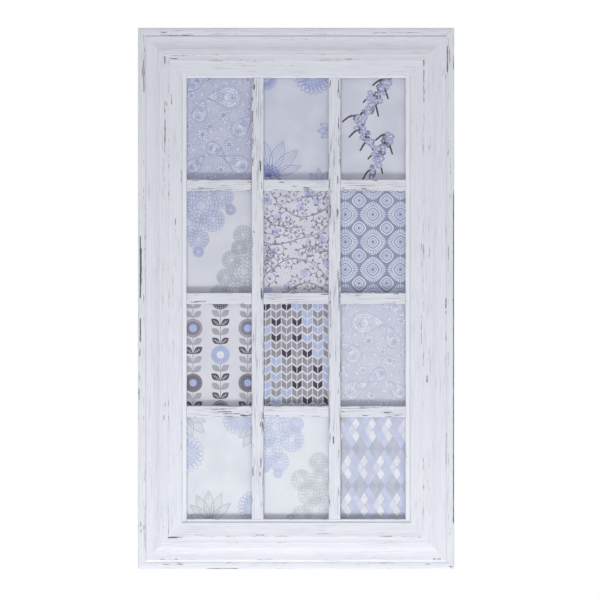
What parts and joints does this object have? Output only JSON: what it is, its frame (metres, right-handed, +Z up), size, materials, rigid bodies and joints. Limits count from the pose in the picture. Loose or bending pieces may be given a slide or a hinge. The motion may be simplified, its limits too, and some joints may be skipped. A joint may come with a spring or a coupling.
{
  "type": "collage photo frame",
  "caption": "Portrait wall frame for a collage of photos: painted mitred moulding round a window-style lattice, with glass, prints, a back board, turn buttons and keyhole hangers.",
  "frame": {"origin": "midway between the centres of the two keyhole entries, in the plane of the moulding's back", "axes": "+Z up along the frame's height, +Y out of the back towards the wall, +X to the right as seen from the front, so that the front faces -Y"},
  "size_m": [0.45, 0.022, 0.77],
  "materials": {
    "painted_moulding": "brushed white paint over a dark ground, rubbed through at the arrises, satin matt",
    "painted_lattice": "brushed white paint over a dark ground, lightly rubbed, satin matt",
    "clear_glass": "clear float glass",
    "printed_paper": "matt printed paper in pale blue, lavender and grey",
    "greyboard": "plain grey card",
    "hardboard": "smooth brown hardboard",
    "blackened_steel": "blackened pressed steel",
    "bright_steel": "zinc-plated steel",
    "zinc_steel": "zinc-plated pressed steel, brushed",
    "pad_rubber": "soft black rubber"
  },
  "bodies": {
    "frame": {"moulding_top": "painted_moulding", "moulding_bottom": "painted_moulding", "moulding_left": "painted_moulding", "moulding_right": "painted_moulding", "corner_nails": "bright_steel", "lattice_stile_left": "painted_lattice", "lattice_stile_right": "painted_lattice", "lattice_rail_top": "painted_lattice", "lattice_rail_bottom": "painted_lattice", "mullion_left": "painted_lattice", "mullion_right": "painted_lattice", "transom_r1_c1": "painted_lattice", "transom_r1_c2": "painted_lattice", "transom_r1_c3": "painted_lattice", "transom_r2_c1": "painted_lattice", "transom_r2_c2": "painted_lattice", "transom_r2_c3": "painted_lattice", "transom_r3_c1": "painted_lattice", "transom_r3_c2": "painted_lattice", "transom_r3_c3": "painted_lattice", "glass": "clear_glass", "print_r1_c1": "printed_paper", "print_r1_c2": "printed_paper", "print_r1_c3": "printed_paper", "print_r2_c1": "printed_paper", "print_r2_c2": "printed_paper", "print_r2_c3": "printed_paper", "print_r3_c1": "printed_paper", "print_r3_c2": "printed_paper", "print_r3_c3": "printed_paper", "print_r4_c1": "printed_paper", "print_r4_c2": "printed_paper", "print_r4_c3": "printed_paper", "mounting_card": "greyboard", "back_board": "hardboard", "turn_button_screws": "bright_steel", "hanger_plate_left": "zinc_steel", "hanger_plate_right": "zinc_steel", "hanger_screws": "bright_steel", "wall_pads": "pad_rubber"},
    "button_left_upper": {"turn_button_left_upper": "blackened_steel"},
    "button_left_middle": {"turn_button_left_middle": "blackened_steel"},
    "button_left_lower": {"turn_button_left_lower": "blackened_steel"},
    "button_right_upper": {"turn_button_right_upper": "blackened_steel"},
    "button_right_middle": {"turn_button_right_middle": "blackened_steel"},
    "button_right_lower": {"turn_button_right_lower": "blackened_steel"},
    "button_top_left": {"turn_button_top_left": "blackened_steel"},
    "button_top_right": {"turn_button_top_right": "blackened_steel"},
    "button_bottom_left": {"turn_button_bottom_left": "blackened_steel"},
    "button_bottom_right": {"turn_button_bottom_right": "blackened_steel"}
  },
  "joints": [
    {"name": "pivot_left_upper", "type": "hinge", "parent": "frame", "child": "button_left_upper", "pos_m": [-0.17925, 0.0007, -0.136], "axis": [0, 1, 0], "continuous": true},
    {"name": "pivot_left_middle", "type": "hinge", "parent": "frame", "child": "button_left_middle", "pos_m": [-0.17925, 0.0007, -0.346], "axis": [0, 1, 0], "continuous": true},
    {"name": "pivot_left_lower", "type": "hinge", "parent": "frame", "child": "button_left_lower", "pos_m": [-0.17925, 0.0007, -0.556], "axis": [0, 1, 0], "continuous": true},
    {"name": "pivot_right_upper", "type": "hinge", "parent": "frame", "child": "button_right_upper", "pos_m": [0.17925, 0.0007, -0.136], "axis": [0, 1, 0], "continuous": true},
    {"name": "pivot_right_middle", "type": "hinge", "parent": "frame", "child": "button_right_middle", "pos_m": [0.17925, 0.0007, -0.346], "axis": [0, 1, 0], "continuous": true},
    {"name": "pivot_right_lower", "type": "hinge", "parent": "frame", "child": "button_right_lower", "pos_m": [0.17925, 0.0007, -0.556], "axis": [0, 1, 0], "continuous": true},
    {"name": "pivot_top_left", "type": "hinge", "parent": "frame", "child": "button_top_left", "pos_m": [-0.075, 0.0007, -0.01075], "axis": [0, 1, 0], "continuous": true},
    {"name": "pivot_top_right", "type": "hinge", "parent": "frame", "child": "button_top_right", "pos_m": [0.075, 0.0007, -0.01075], "axis": [0, 1, 0], "continuous": true},
    {"name": "pivot_bottom_left", "type": "hinge", "parent": "frame", "child": "button_bottom_left", "pos_m": [-0.075, 0.0007, -0.68125], "axis": [0, 1, 0], "continuous": true},
    {"name": "pivot_bottom_right", "type": "hinge", "parent": "frame", "child": "button_bottom_right", "pos_m": [0.075, 0.0007, -0.68125], "axis": [0, 1, 0], "continuous": true}
  ]
}
